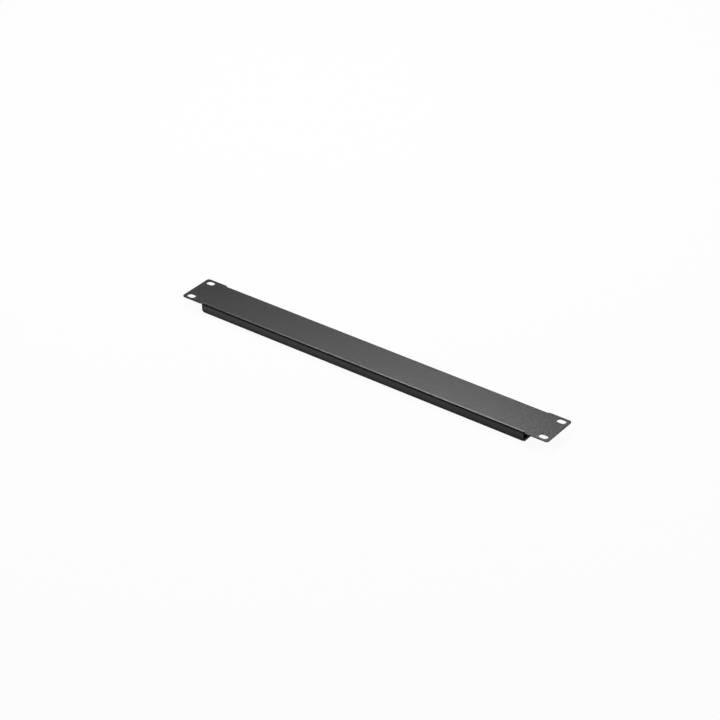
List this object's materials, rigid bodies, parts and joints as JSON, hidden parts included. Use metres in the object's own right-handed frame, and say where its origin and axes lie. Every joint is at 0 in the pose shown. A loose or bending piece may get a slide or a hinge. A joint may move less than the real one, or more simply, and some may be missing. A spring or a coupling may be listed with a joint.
{
  "type": "rack blanking panel",
  "caption": "Folded sheet steel panel that closes an empty space in an equipment rack, with slotted ears, two flanges and return lips.",
  "frame": {"origin": "under the middle of the panel, level with the underside of the return lips it rests on", "axes": "+X along the panel from ear to ear, +Y up the panel's height as mounted, +Z out of the front face"},
  "size_m": [0.4826, 0.0436, 0.012],
  "materials": {
    "powder_coat": "fine textured black powder coat on steel, satin"
  },
  "bodies": {
    "root": {"blanking_panel": "powder_coat"}
  },
  "joints": []
}
